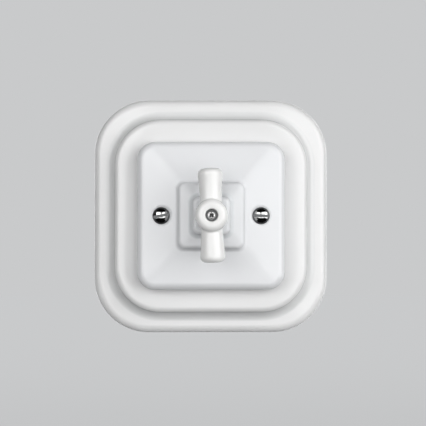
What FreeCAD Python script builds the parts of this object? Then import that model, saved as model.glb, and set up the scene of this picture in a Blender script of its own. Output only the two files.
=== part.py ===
# Porcelain rotary light switch for flush mounting in a round wall box.
# Every piece is drawn face up: X to the right, Y up the wall, Z out of the wall, with the wall at Z = 0.
# At the end each piece is stood up, so that the finished switch faces -Y with +Z up.
import FreeCAD, Part
import math
import os
from FreeCAD import Vector

# Sizes in millimetres.

# Porcelain surround that lies on the wall
frame_side = 100.0
frame_corner = 23.5
band_height = 5.2
band_edge_radius = 3.6
foot_edge_radius = 0.8
tier_side = 82.0
tier_corner = 19.4
tier_edge_radius = 2.5
cove_radius = 4.2
band_fill_limit = 0.95
frame_height = 12.0
frame_recess_clearance = 2.5
frame_recess_depth = 5.2
frame_opening_side = 54.0
frame_opening_corner = 7.0
opening_edge_radius = 0.8

# Porcelain cover plate with a hipped top and a stepped square pedestal
cover_side = 62.5
cover_corner = 7.6
cover_edge_height = 6.4
cover_edge_radius = 3.2
hip_rise = 2.0
hip_ridge_radius = 1.0
pedestal_side = 27.6
pedestal_corner = 3.4
pedestal_height = 2.6
pedestal_cove_radius = 1.4
cove_run_out = 0.3
pedestal_edge_radius = 1.0
pedestal_slope_rise = 0.4
collar_side = 15.8
collar_corner = 2.6
collar_height = 3.7
collar_edge_radius = 1.1
collar_cove_radius = 1.6
cover_roof = 3.0
pedestal_wall = 4.0
cover_hollow_corner = 5.0
spigot_depth = 2.5
spigot_wall = 3.2
spigot_clearance = 0.4
screw_pillar_radius = 5.2
spindle_hole_clearance = 1.2

# Screws that clamp the cover, and the recess that each head sinks into
cover_screw_spacing = 42.0
cover_screw_radius = 1.75
cover_screw_head_radius = 3.7
cover_screw_dome_height = 1.5
cover_screw_slot_width = 0.9
cover_screw_slot_depth = 1.3
cover_screw_sunk = 0.4
cover_screw_tail = 2.4
cover_screw_hole_clearance = 0.25
screw_recess_edge_radius = 1.7
left_screw_turn = 11.0
right_screw_turn = -2.0

# Porcelain knob: a round hub with two flared arms
knob_gap = 0.4
hub_radius = 7.0
hub_top_radius = 6.6
hub_height = 13.2
hub_edge_radius = 2.5
arm_axis_height = 5.9
arm_neck_radius = 4.4
arm_end_radius = 5.45
arm_reach = 19.6
arm_end_bulge = 0.7
arm_end_edge_radius = 2.0
arm_hub_fillet = 1.2
arm_turn = 1.9
knob_seat_depth = 3.0
knob_seat_radius = 2.6
knob_seat_edge_radius = 0.5
knob_web = 2.4

# Knob screw with a cross recess
knob_screw_radius = 1.45
knob_screw_head_radius = 1.9
knob_screw_head_height = 1.6
knob_screw_head_edge = 0.6
knob_screw_length = 9.0
thread_run_out = 0.5
cross_recess_width = 0.8
cross_recess_span = 2.6
cross_recess_depth = 1.0

# Steel spindle that the knob turns
spindle_radius = 3.0
spindle_flat = 2.3
spindle_square = 5.0
spindle_flange_radius = 5.0
spindle_flange_thickness = 1.2
spindle_tail_radius = 2.0
spindle_tail_length = 4.5
thrust_washer_radius = 5.4
thrust_washer_thickness = 0.5

# Moulded rotor: a contact drum in front of a square detent cam
drum_radius = 8.5
drum_length = 9.2
cam_across_flats = 12.0
cam_corner_radius = 7.3
cam_length = 6.0
bridge_width = 5.0
bridge_thickness = 2.4
bridge_eye_radius = 6.4
bridge_bore_radius = 4.4

# Steel mounting yoke behind the porcelain
yoke_margin = 5.5
yoke_corner = 9.0
yoke_thickness = 1.2
yoke_bush_clearance = 0.5
box_screw_spacing = 60.0
box_slot_width = 3.8
box_slot_length = 6.4
thread_collar_radius = 3.0
thread_collar_depth = 2.0

# Insulating cap and steatite base of the mechanism
base_width = 34.0
base_height = 44.0
base_depth = 24.0
base_corner = 3.0
base_edge_radius = 0.8
cap_thickness = 2.0
drum_pocket_clearance = 1.0
cam_pocket_clearance = 1.2
assembly_screw_inset = 3.7
assembly_screw_radius = 1.5
assembly_screw_head_radius = 2.8
assembly_screw_head_height = 1.9
assembly_screw_head_edge = 0.6
assembly_screw_grip = 12.0
assembly_slot_width = 0.8
assembly_slot_depth = 0.9
bush_radius = 4.2
bush_flange_radius = 5.8
bush_flange_thickness = 1.0
bush_top = 7.0

# Brass tunnel terminals, their screws, and the bronze contact springs
terminal_width = 7.0
terminal_height = 7.0
terminal_length = 9.0
terminal_top_gap = 1.0
terminal_outer_wall = 2.6
wire_hole_radius = 1.7
wire_entry_radius = 2.0
wire_funnel_radius = 3.0
wire_funnel_depth = 1.0
terminal_screw_radius = 1.6
terminal_screw_head_radius = 2.6
terminal_screw_head_height = 1.5
terminal_screw_depth = 5.0
terminal_screw_play = 0.2
terminal_slot_width = 0.8
terminal_slot_depth = 0.8
contact_strip_width = 6.0
contact_strip_thickness = 0.5
contact_strip_length = 8.0
contact_strip_inset = 0.3
stake_radius = 0.9
stake_edge_distance = 2.0
stake_proud = 0.3

# Leaf springs that hold the cam at each quarter turn
detent_strip_width = 5.0
detent_strip_thickness = 0.6
detent_strip_length = 29.0
detent_slot_length = 2.2
detent_travel = 2.0

# Clearances
running_clearance = 0.05
seat_clearance = 0.05
end_clearance = 0.1
rotor_end_play = 0.3

# Places closer than this count as the same
same_place = 1e-3

# Heights above the wall and places worked out from the sizes
band_width = (frame_side - tier_side) / 2
band_curve_scale = min(1.0, band_fill_limit * band_width / (band_edge_radius + cove_radius))
cover_bottom = frame_height
cover_shoulder = cover_bottom + cover_edge_height
hip_top = cover_shoulder + hip_rise
pedestal_top = hip_top + pedestal_height
slope_top = pedestal_top + pedestal_slope_rise
collar_top = slope_top + collar_height
knob_bottom = collar_top + knob_gap
knob_top = knob_bottom + hub_height
arm_axis = knob_bottom + arm_axis_height
knob_seat = knob_top - knob_seat_depth
spindle_top = knob_seat - knob_web
hip_slope = hip_rise / ((cover_side - pedestal_side) / 2)
cover_screw_x = cover_screw_spacing / 2
cover_screw_surface = cover_shoulder + hip_slope * (cover_side / 2 - cover_screw_x)
cover_screw_rim = cover_screw_surface - cover_screw_sunk
cap_bottom = -cap_thickness
base_bottom = cap_bottom - base_depth
washer_top = cap_bottom - end_clearance
flange_top = washer_top - thrust_washer_thickness
rotor_top = flange_top - spindle_flange_thickness
cam_top = rotor_top - drum_length
rotor_bottom = cam_top - cam_length
cam_pocket_floor = rotor_bottom - rotor_end_play
drum_pocket_floor = cam_top - rotor_end_play
bridge_middle = rotor_top - drum_length / 2
terminal_outer = base_height / 2 - terminal_outer_wall
terminal_inner = terminal_outer - terminal_height
terminal_top = cap_bottom - terminal_top_gap
terminal_bottom = terminal_top - terminal_length
terminal_middle = terminal_outer - terminal_height / 2
terminal_screw_level = terminal_top - terminal_screw_depth
contact_top = terminal_top - contact_strip_inset
contact_bottom = contact_top - contact_strip_length
stake_level = contact_bottom + stake_edge_distance
detent_inner = cam_across_flats / 2 + running_clearance
detent_middle = (cam_top + rotor_bottom) / 2
assembly_screw_x = base_width / 2 - assembly_screw_inset
assembly_screw_y = base_height / 2 - assembly_screw_inset
yoke_side = box_screw_spacing + 2 * yoke_margin
frame_recess_side = yoke_side + 2 * frame_recess_clearance
frame_recess_corner = yoke_corner + frame_recess_clearance
spigot_side = frame_opening_side - 2 * spigot_clearance
spigot_corner = frame_opening_corner - spigot_clearance
cover_hollow_side = spigot_side - 2 * spigot_wall
cover_hollow_top = cover_shoulder - cover_roof


# Shared drawing helpers

def rounded_outline(width, height, corner, level):
    """Closed wire of a rectangle with round corners, centred on Z, at one level."""
    x = width / 2 - corner
    y = height / 2 - corner
    arcs = []
    for quarter, (cx, cy) in enumerate([(x, y), (-x, y), (-x, -y), (x, -y)]):
        circle = Part.Circle(Vector(cx, cy, level), Vector(0, 0, 1), corner)
        arcs.append(Part.Edge(circle, quarter * math.pi / 2, (quarter + 1) * math.pi / 2))
    edges = []
    for arc, following in zip(arcs, arcs[1:] + arcs[:1]):
        edges.append(arc)
        edges.append(Part.makeLine(arc.lastVertex().Point, following.firstVertex().Point))
    return Part.Wire(edges)


def block(width, height, corner, bottom, top, x=0.0, y=0.0):
    """Upright prism with round corners, or with square ones where corner is 0."""
    if corner:
        solid = Part.Face(rounded_outline(width, height, corner, bottom)).extrude(Vector(0, 0, top - bottom))
    else:
        solid = Part.makeBox(width, height, top - bottom, Vector(-width / 2, -height / 2, bottom))
    solid.translate(Vector(x, y, 0))
    return solid


def disc(radius, bottom, top, x=0.0, y=0.0):
    """Upright cylinder between two levels."""
    return Part.makeCylinder(radius, top - bottom, Vector(x, y, bottom))


def rod(radius, start, end, x, z):
    """Cylinder along Y between two places."""
    return Part.makeCylinder(radius, end - start, Vector(x, start, z), Vector(0, 1, 0))


def turned(edges):
    """Solid turned about Z from the edges of a half section in the XZ plane."""
    section = Part.Face(Part.Wire(edges))
    return section.revolve(Vector(0, 0, 0), Vector(0, 0, 1), 360)


def polyline(points):
    """Straight edges through the points, in order."""
    return [Part.makeLine(Vector(*a), Vector(*b)) for a, b in zip(points, points[1:])]


def level_edges(shape, level, reach):
    """Edges that lie flat at one level and reach just that far from Z along X or Y."""
    found = []
    for edge in shape.Edges:
        box = edge.BoundBox
        flat = abs(box.ZMin - level) < same_place and abs(box.ZMax - level) < same_place
        extent = max(abs(box.XMin), abs(box.XMax), abs(box.YMin), abs(box.YMax))
        if flat and abs(extent - reach) < same_place:
            found.append(edge)
    return found


def round_level(shape, radius, level, reach):
    """Fillet of every edge at one level and reach."""
    return shape.makeFillet(radius, level_edges(shape, level, reach))


def fuse_all(first, *others):
    """One solid from several that meet."""
    return first.fuse(list(others)).removeSplitter()


def screwdriver_slot(head_radius, width, depth, top):
    """Straight cut along X, right across a screw head."""
    return block(2 * head_radius, width, 0, top - depth, top)


def round_ended_slot(length, width, bottom, top):
    """Long hole along X with round ends."""
    end = length / 2 - width / 2
    middle = block(2 * end, width, 0, bottom, top)
    return middle.fuse([disc(width / 2, bottom, top, -end), disc(width / 2, bottom, top, end)])


def copy_at(shape, x, y, turn=0.0):
    """Copy of a shape, turned about Z and then moved."""
    copy = shape.copy()
    copy.rotate(Vector(0, 0, 0), Vector(0, 0, 1), turn)
    copy.translate(Vector(x, y, 0))
    return copy


def base_corners():
    """Places of the four screws that hold the mechanism together."""
    columns = (-assembly_screw_x, assembly_screw_x)
    rows = (-assembly_screw_y, assembly_screw_y)
    return [(x, y) for x in columns for y in rows]


# Porcelain pieces

def outer_frame():
    """Surround with a rounded outer band, a cove and a raised tier, hollow behind for the yoke."""
    band = block(frame_side, frame_side, frame_corner, 0, band_height)
    tier = block(tier_side, tier_side, tier_corner, 0, frame_height)
    frame = fuse_all(band, tier)
    frame = round_level(frame, band_curve_scale * band_edge_radius, band_height, frame_side / 2)
    frame = round_level(frame, band_curve_scale * cove_radius, band_height, tier_side / 2)
    frame = round_level(frame, tier_edge_radius, frame_height, tier_side / 2)
    frame = round_level(frame, foot_edge_radius, 0, frame_side / 2)
    recess = block(frame_recess_side, frame_recess_side, frame_recess_corner, 0, frame_recess_depth)
    opening = block(frame_opening_side, frame_opening_side, frame_opening_corner, 0, frame_height)
    frame = frame.cut([recess, opening])
    return round_level(frame, opening_edge_radius, frame_height, frame_opening_side / 2)


def hipped_plate():
    """Solid plate whose top slopes up on four sides to the foot of the pedestal."""
    sides = block(cover_side, cover_side, cover_corner, cover_bottom, cover_shoulder)
    hip_foot = rounded_outline(cover_side, cover_side, cover_corner, cover_shoulder)
    hip_head = rounded_outline(pedestal_side, pedestal_side, hip_ridge_radius, hip_top)
    hip = Part.makeLoft([hip_foot, hip_head], True, True)
    plate = sides.fuse(hip).removeSplitter()
    return round_level(plate, cover_edge_radius, cover_shoulder, cover_side / 2)


def stepped_pedestal():
    """Two square steps under the knob, with coves at their feet and soft upper edges."""
    foot_reach = pedestal_cove_radius + cove_run_out
    foot_side = pedestal_side + 2 * foot_reach
    foot_corner = pedestal_corner + foot_reach
    foot_level = hip_top - hip_slope * foot_reach
    foot = block(foot_side, foot_side, foot_corner, cover_bottom, foot_level)
    lower_step = block(pedestal_side, pedestal_side, pedestal_corner, cover_bottom, pedestal_top)
    pedestal = fuse_all(foot, lower_step)
    pedestal = round_level(pedestal, pedestal_cove_radius, foot_level, pedestal_side / 2)

    slope_foot = rounded_outline(pedestal_side, pedestal_side, pedestal_corner, pedestal_top)
    slope_head = rounded_outline(collar_side, collar_side, collar_corner, slope_top)
    slope = Part.makeLoft([slope_foot, slope_head], True, True)
    pedestal = fuse_all(pedestal, slope)
    pedestal = round_level(pedestal, pedestal_edge_radius, pedestal_top, pedestal_side / 2)

    collar = block(collar_side, collar_side, collar_corner, pedestal_top, collar_top)
    pedestal = fuse_all(pedestal, collar)
    pedestal = round_level(pedestal, collar_cove_radius, slope_top, collar_side / 2)
    return round_level(pedestal, collar_edge_radius, collar_top, collar_side / 2)


def screw_recess(x):
    """Cutter for one cover screw: a clearance hole under a cone that takes the head."""
    hole_radius = cover_screw_radius + cover_screw_hole_clearance
    cone_bottom = cover_screw_rim - (cover_screw_head_radius - hole_radius) - seat_clearance
    cone_top = cover_screw_surface + cover_screw_dome_height
    cone_top_radius = hole_radius + cone_top - cone_bottom
    hole = disc(hole_radius, 0, cone_top, x)
    cone = Part.makeCone(hole_radius, cone_top_radius, cone_top - cone_bottom, Vector(x, 0, cone_bottom))
    return hole.fuse(cone)


def recess_rims(cover, x):
    """Edges where a screw recess breaks through the sloping top."""
    rims = []
    for edge in cover.Edges:
        box = edge.BoundBox
        near = abs(box.Center.x - x) < screw_pillar_radius and abs(box.Center.y) < screw_pillar_radius
        at_top = box.ZMax > cover_screw_rim and box.ZMax < hip_top
        if near and at_top and box.YLength > cover_screw_head_radius:
            rims.append(edge)
    return rims


def cover_plate():
    """Hipped cover with its pedestal, hollow behind, with a spigot that drops into the frame."""
    cover = fuse_all(hipped_plate(), stepped_pedestal())
    spigot = block(spigot_side, spigot_side, spigot_corner, cover_bottom - spigot_depth, cover_bottom)
    cover = fuse_all(cover, spigot)
    hollow_bottom = cover_bottom - spigot_depth
    hollow = block(cover_hollow_side, cover_hollow_side, cover_hollow_corner, hollow_bottom, cover_hollow_top)
    core_side = pedestal_side - 2 * pedestal_wall
    core = block(core_side, core_side, collar_corner, hollow_bottom, pedestal_top - pedestal_wall)
    cover = cover.cut(hollow.fuse(core))
    places = [-cover_screw_x, cover_screw_x]
    pillars = [disc(screw_pillar_radius, hollow_bottom, cover_shoulder, x) for x in places]
    room = block(spigot_side, spigot_side, spigot_corner, hollow_bottom, cover_shoulder)
    cover = fuse_all(cover, *[pillar.common(room) for pillar in pillars])
    spindle_hole = disc(spindle_radius + spindle_hole_clearance, hollow_bottom, collar_top)
    cover = cover.cut([screw_recess(x) for x in places] + [spindle_hole])
    rims = recess_rims(cover, places[0]) + recess_rims(cover, places[1])
    return cover.makeFillet(screw_recess_edge_radius, rims)


def knob_hub():
    """Turned hub with a soft upper edge."""
    wall = [(0, 0, knob_bottom), (hub_radius, 0, knob_bottom), (hub_top_radius, 0, knob_top)]
    hub = turned(polyline(wall + [(0, 0, knob_top), (0, 0, knob_bottom)]))
    return round_level(hub, hub_edge_radius, knob_top, hub_top_radius)


def knob_arms():
    """Both arms as one turned bar along Y: slim at the hub, flared towards slightly domed ends."""
    shoulder = arm_reach - arm_end_bulge
    dome_radius = (arm_end_radius ** 2 + arm_end_bulge ** 2) / (2 * arm_end_bulge)
    dome_half_angle = math.asin(arm_end_radius / dome_radius) / 2
    swell_x = dome_radius * math.sin(dome_half_angle)
    swell_y = arm_reach - dome_radius * (1 - math.cos(dome_half_angle))
    lower_lip = Vector(arm_end_radius, -shoulder, 0)
    upper_lip = Vector(arm_end_radius, shoulder, 0)
    lower_tip = Vector(0, -arm_reach, 0)
    upper_tip = Vector(0, arm_reach, 0)
    flare_curve = Part.BezierCurve()
    flare_curve.setPoles([lower_lip, Vector(2 * arm_neck_radius - arm_end_radius, 0, 0), upper_lip])
    flare = flare_curve.toShape()
    upper_dome = Part.Arc(upper_lip, Vector(swell_x, swell_y, 0), upper_tip).toShape()
    lower_dome = Part.Arc(lower_tip, Vector(swell_x, -swell_y, 0), lower_lip).toShape()
    axis = Part.makeLine(upper_tip, lower_tip)
    section = Part.Face(Part.Wire([flare, upper_dome, axis, lower_dome]))
    arms = section.revolve(Vector(0, 0, 0), Vector(0, 1, 0), 360)
    lips = []
    for edge in arms.Edges:
        box = edge.BoundBox
        if box.YLength < same_place and abs(abs(box.YMin) - shoulder) < same_place:
            lips.append(edge)
    arms = arms.makeFillet(arm_end_edge_radius, lips)
    arms.translate(Vector(0, 0, arm_axis))
    return arms


def spindle_end(clearance):
    """Double-D end of the spindle, or the socket for it with some clearance."""
    top = spindle_top + clearance
    round_part = disc(spindle_radius + clearance, knob_bottom, top)
    flats = block(2 * (spindle_flat + clearance), 2 * spindle_flange_radius, 0, knob_bottom, top)
    return round_part.common(flats)


def knob():
    """Hub and arms in one piece, with a socket for the spindle and a sunk seat for the screw."""
    body = knob_hub().fuse(knob_arms())
    joints = []
    for edge in body.Edges:
        box = edge.BoundBox
        on_hub = max(abs(box.XMin), abs(box.XMax)) > arm_neck_radius / 2 and abs(box.Center.y) < hub_radius
        if on_hub and abs(box.Center.y) > hub_radius / 2 and box.ZLength > arm_neck_radius:
            joints.append(edge)
    body = body.makeFillet(arm_hub_fillet, joints)
    body.rotate(Vector(0, 0, 0), Vector(0, 0, 1), arm_turn)
    socket = spindle_end(seat_clearance)
    screw_hole = disc(knob_screw_radius + seat_clearance, knob_bottom, knob_top)
    seat = disc(knob_seat_radius, knob_seat, knob_top)
    body = body.cut([socket, screw_hole, seat])
    return round_level(body, knob_seat_edge_radius, knob_top, knob_seat_radius)


# Screws

def cover_screws():
    """Two slotted screws with raised countersunk heads."""
    shank_bottom = -thread_collar_depth - cover_screw_tail
    neck = cover_screw_rim - (cover_screw_head_radius - cover_screw_radius)
    dome_top = cover_screw_rim + cover_screw_dome_height
    shank = polyline([(0, 0, dome_top), (0, 0, shank_bottom), (cover_screw_radius, 0, shank_bottom),
                      (cover_screw_radius, 0, neck), (cover_screw_head_radius, 0, cover_screw_rim)])
    rim_to_top_squared = cover_screw_head_radius ** 2 + cover_screw_dome_height ** 2
    sphere_radius = rim_to_top_squared / (2 * cover_screw_dome_height)
    half_angle = math.asin(cover_screw_head_radius / sphere_radius) / 2
    centre = dome_top - sphere_radius
    swell = Vector(sphere_radius * math.sin(half_angle), 0, centre + sphere_radius * math.cos(half_angle))
    dome = Part.Arc(Vector(cover_screw_head_radius, 0, cover_screw_rim), swell, Vector(0, 0, dome_top))
    screw = turned(shank + [dome.toShape()])
    slot = screwdriver_slot(cover_screw_head_radius, cover_screw_slot_width, cover_screw_slot_depth, dome_top)
    screw = screw.cut(slot)
    left = copy_at(screw, -cover_screw_x, 0, left_screw_turn)
    right = copy_at(screw, cover_screw_x, 0, right_screw_turn)
    return Part.makeCompound([left, right])


def knob_screw():
    """Pan-head screw with a cross recess, from the knob's seat into the spindle."""
    head_top = knob_seat + knob_screw_head_height
    head = disc(knob_screw_head_radius, knob_seat, head_top)
    head = round_level(head, knob_screw_head_edge, head_top, knob_screw_head_radius)
    shank = disc(knob_screw_radius, knob_seat - knob_screw_length, knob_seat)
    screw = fuse_all(head, shank)
    across = block(cross_recess_span, cross_recess_width, 0, head_top - cross_recess_depth, head_top)
    upright = block(cross_recess_width, cross_recess_span, 0, head_top - cross_recess_depth, head_top)
    return screw.cut(across.fuse(upright))


def assembly_screws():
    """Four slotted screws that hold the yoke and the cap on the base."""
    head_top = yoke_thickness + assembly_screw_head_height
    head = disc(assembly_screw_head_radius, yoke_thickness, head_top)
    head = round_level(head, assembly_screw_head_edge, head_top, assembly_screw_head_radius)
    shank = disc(assembly_screw_radius, yoke_thickness - assembly_screw_grip, yoke_thickness)
    screw = fuse_all(head, shank)
    slot = screwdriver_slot(assembly_screw_head_radius, assembly_slot_width, assembly_slot_depth, head_top)
    screw = screw.cut(slot)
    return Part.makeCompound([copy_at(screw, x, y) for x, y in base_corners()])


def terminal_screws():
    """Two slotted screws that clamp the wires from the top and bottom of the base."""
    tip = terminal_middle + wire_hole_radius
    head_outer = base_height / 2
    head_inner = head_outer - terminal_screw_head_height
    shank = rod(terminal_screw_radius, tip, head_inner, 0, terminal_screw_level)
    head = rod(terminal_screw_head_radius, head_inner, head_outer, 0, terminal_screw_level)
    slot = Part.makeBox(2 * terminal_screw_head_radius, 2 * terminal_slot_depth, terminal_slot_width,
                        Vector(-terminal_screw_head_radius, head_outer - terminal_slot_depth,
                               terminal_screw_level - terminal_slot_width / 2))
    screw = fuse_all(shank, head).cut(slot)
    return Part.makeCompound([screw, copy_at(screw, 0, 0, 180)])


# Mechanism

def mounting_yoke():
    """Pressed steel plate with slots for the wall box screws and threaded collars for the cover screws."""
    plate = block(yoke_side, yoke_side, yoke_corner, 0, yoke_thickness)
    screw_places = (-cover_screw_x, cover_screw_x)
    collars = [disc(thread_collar_radius, -thread_collar_depth, 0, x) for x in screw_places]
    plate = fuse_all(plate, *collars)
    cuts = [disc(bush_flange_radius + yoke_bush_clearance, 0, yoke_thickness)]
    for x in screw_places:
        cuts.append(disc(cover_screw_radius + seat_clearance, -thread_collar_depth, yoke_thickness, x))
    for x, y in base_corners():
        cuts.append(disc(assembly_screw_radius + seat_clearance, 0, yoke_thickness, x, y))
    slot = round_ended_slot(box_slot_length, box_slot_width, 0, yoke_thickness)
    outer_slot = copy_at(slot, box_screw_spacing / 2, 0)
    cuts += [copy_at(outer_slot, 0, 0, turn) for turn in (0, 90, 180, 270)]
    return plate.cut(cuts)


def mechanism_cap():
    """Insulating plate that closes the base and carries the front bearing."""
    cap = block(base_width, base_height, base_corner, cap_bottom, 0)
    cuts = [disc(bush_radius + seat_clearance, cap_bottom, 0)]
    for x, y in base_corners():
        cuts.append(disc(assembly_screw_radius + seat_clearance, cap_bottom, 0, x, y))
    return cap.cut(cuts)


def bearing_bush():
    """Flanged brass bush in the cap that the spindle turns in."""
    sleeve = disc(bush_radius, cap_bottom, bush_top)
    flange = disc(bush_flange_radius, 0, bush_flange_thickness)
    bore = disc(spindle_radius + running_clearance, cap_bottom, bush_top)
    return fuse_all(sleeve, flange).cut(bore)


def detent_channel(side):
    """Room for one leaf spring to bow outwards, with a narrow slot for each of its ends."""
    slot_width = detent_strip_thickness + 2 * seat_clearance
    slot_x = side * (detent_inner + detent_strip_thickness / 2)
    slot_length = detent_strip_length + 2 * end_clearance
    slot = block(slot_width, slot_length, 0, cam_pocket_floor, cap_bottom, slot_x)
    room_width = detent_strip_thickness + detent_travel
    room_x = side * (detent_inner + room_width / 2)
    room_length = detent_strip_length - 2 * detent_slot_length
    room = block(room_width, room_length, 0, cam_pocket_floor, cap_bottom, room_x)
    return slot.fuse(room)


def terminal_pocket():
    """Room for the upper terminal, its contact spring, its screw and its wire."""
    width = terminal_width + 2 * seat_clearance
    inner = terminal_inner - seat_clearance
    outer = terminal_outer + seat_clearance
    floor = terminal_bottom - seat_clearance
    pocket = block(width, outer - inner, 0, floor, cap_bottom, 0, (inner + outer) / 2)
    spring_room = block(width, inner, 0, floor, cap_bottom, 0, inner / 2)
    screw_hole = rod(terminal_screw_head_radius + terminal_screw_play, terminal_middle, base_height,
                     0, terminal_screw_level)
    wire_entry = disc(wire_entry_radius, base_bottom, floor, 0, terminal_middle)
    funnel = Part.makeCone(wire_funnel_radius, wire_entry_radius, wire_funnel_depth,
                           Vector(0, terminal_middle, base_bottom))
    return pocket.fuse([spring_room, screw_hole, wire_entry, funnel])


def mechanism_base():
    """Steatite block with pockets for the rotor, the springs and the terminals."""
    base = block(base_width, base_height, base_corner, base_bottom, cap_bottom)
    back_edges = [edge for edge in base.Edges if abs(edge.BoundBox.ZMax - base_bottom) < same_place]
    base = base.makeFillet(base_edge_radius, back_edges)
    upper = terminal_pocket()
    cuts = [disc(drum_radius + drum_pocket_clearance, drum_pocket_floor, cap_bottom),
            disc(cam_corner_radius + cam_pocket_clearance, cam_pocket_floor, drum_pocket_floor),
            detent_channel(-1), detent_channel(1), upper, copy_at(upper, 0, 0, 180)]
    bearing_floor = cam_pocket_floor - spindle_tail_length
    cuts.append(disc(spindle_tail_radius + running_clearance, bearing_floor, cam_pocket_floor))
    screw_floor = yoke_thickness - assembly_screw_grip - end_clearance
    for x, y in base_corners():
        cuts.append(disc(assembly_screw_radius + seat_clearance, screw_floor, cap_bottom, x, y))
    return base.cut(cuts)


def spindle():
    """Turned spindle: knob end with two flats, journal, flange, square for the rotor and a tail."""
    journal = disc(spindle_radius, flange_top, knob_bottom)
    flange = disc(spindle_flange_radius, rotor_top, flange_top)
    square = block(spindle_square, spindle_square, 0, rotor_bottom, rotor_top)
    tail = disc(spindle_tail_radius, rotor_bottom - spindle_tail_length + end_clearance, rotor_bottom)
    body = fuse_all(spindle_end(0), journal, flange, square, tail)
    thread_bottom = knob_seat - knob_screw_length - thread_run_out
    return body.cut(disc(knob_screw_radius + seat_clearance, thread_bottom, spindle_top))


def thrust_washer():
    """Thin washer between the spindle's flange and the cap."""
    ring = disc(thrust_washer_radius, flange_top, washer_top)
    return ring.cut(disc(spindle_radius + seat_clearance, flange_top, washer_top))


def contact_bridge():
    """Brass bar with a round eye that joins the two contact springs at every half turn."""
    bottom = bridge_middle - bridge_thickness / 2
    top = bridge_middle + bridge_thickness / 2
    length = 2 * (drum_radius + drum_pocket_clearance)
    bar = block(bridge_width, length, 0, bottom, top).common(disc(drum_radius, bottom, top))
    eye = disc(bridge_eye_radius, bottom, top)
    return fuse_all(bar, eye).cut(disc(bridge_bore_radius, bottom, top))


def rotor():
    """Moulded drum around the bridge, with the square cam behind it."""
    drum = disc(drum_radius, cam_top, rotor_top)
    cam = block(cam_across_flats, cam_across_flats, 0, rotor_bottom, cam_top)
    cam = cam.common(disc(cam_corner_radius, rotor_bottom, cam_top))
    square_hole = spindle_square + 2 * seat_clearance
    hole = block(square_hole, square_hole, 0, rotor_bottom, rotor_top)
    return fuse_all(drum, cam).cut([hole, contact_bridge()])


def terminal():
    """Upper brass tunnel terminal, with a stud that is staked through the contact spring."""
    body = block(terminal_width, terminal_height, 0, terminal_bottom, terminal_top, 0, terminal_middle)
    stud_end = terminal_inner - contact_strip_thickness - stake_proud
    stud = rod(stake_radius, stud_end, terminal_middle, 0, stake_level)
    wire_hole = disc(wire_hole_radius, terminal_bottom, terminal_top, 0, terminal_middle)
    screw_hole = rod(terminal_screw_radius + seat_clearance, terminal_middle, base_height,
                     0, terminal_screw_level)
    return fuse_all(body, stud).cut([wire_hole, screw_hole])


def contact_spring():
    """Upper bronze strip bent into a U: one leg on the terminal, the other on the drum."""
    outer_leg = terminal_inner
    inner_leg = drum_radius + running_clearance
    radius = (outer_leg - inner_leg) / 2
    middle = (outer_leg + inner_leg) / 2
    bend = contact_top - radius
    thickness = contact_strip_thickness
    outside = [Vector(0, inner_leg, bend), Vector(0, middle, contact_top), Vector(0, outer_leg, bend)]
    inside = [Vector(0, outer_leg - thickness, bend), Vector(0, middle, contact_top - thickness),
              Vector(0, inner_leg + thickness, bend)]
    outer_foot = [(0, outer_leg, bend), (0, outer_leg, contact_bottom),
                  (0, outer_leg - thickness, contact_bottom), (0, outer_leg - thickness, bend)]
    inner_foot = [(0, inner_leg + thickness, bend), (0, inner_leg + thickness, contact_bottom),
                  (0, inner_leg, contact_bottom), (0, inner_leg, bend)]
    edges = [Part.Arc(*outside).toShape(), *polyline(outer_foot),
             Part.Arc(*inside).toShape(), *polyline(inner_foot)]
    strip = Part.Face(Part.Wire(edges)).extrude(Vector(contact_strip_width, 0, 0))
    strip.translate(Vector(-contact_strip_width / 2, 0, 0))
    stake_hole = rod(stake_radius + seat_clearance, middle, outer_leg, 0, stake_level)
    return strip.cut(stake_hole)


def detent_spring(side):
    """Flat steel leaf that lies along one flat of the cam."""
    bottom = detent_middle - detent_strip_width / 2
    top = detent_middle + detent_strip_width / 2
    x = side * (detent_inner + detent_strip_thickness / 2)
    return block(detent_strip_thickness, detent_strip_length, 0, bottom, top, x)


def stood_up(shape):
    """The piece turned from face up to facing -Y, as it hangs on the wall."""
    shape.rotate(Vector(0, 0, 0), Vector(1, 0, 0), 90)
    return shape


def main():
    upper_terminal = terminal()
    upper_spring = contact_spring()
    pieces = {
        "outer_frame": outer_frame(),
        "cover_plate": cover_plate(),
        "cover_screws": cover_screws(),
        "knob": knob(),
        "knob_screw": knob_screw(),
        "mounting_yoke": mounting_yoke(),
        "assembly_screws": assembly_screws(),
        "mechanism_cap": mechanism_cap(),
        "bearing_bush": bearing_bush(),
        "mechanism_base": mechanism_base(),
        "spindle": spindle(),
        "thrust_washer": thrust_washer(),
        "rotor": rotor(),
        "contact_bridge": contact_bridge(),
        "upper_terminal": upper_terminal,
        "lower_terminal": copy_at(upper_terminal, 0, 0, 180),
        "terminal_screws": terminal_screws(),
        "upper_contact_spring": upper_spring,
        "lower_contact_spring": copy_at(upper_spring, 0, 0, 180),
        "left_detent_spring": detent_spring(-1),
        "right_detent_spring": detent_spring(1),
    }
    os.makedirs("parts", exist_ok=True)
    for name, shape in pieces.items():
        stood_up(shape).exportStep(f"parts/{name}.step")


main()
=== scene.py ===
import math

import bmesh
import bpy
from mathutils import Matrix, Vector, noise


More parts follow.
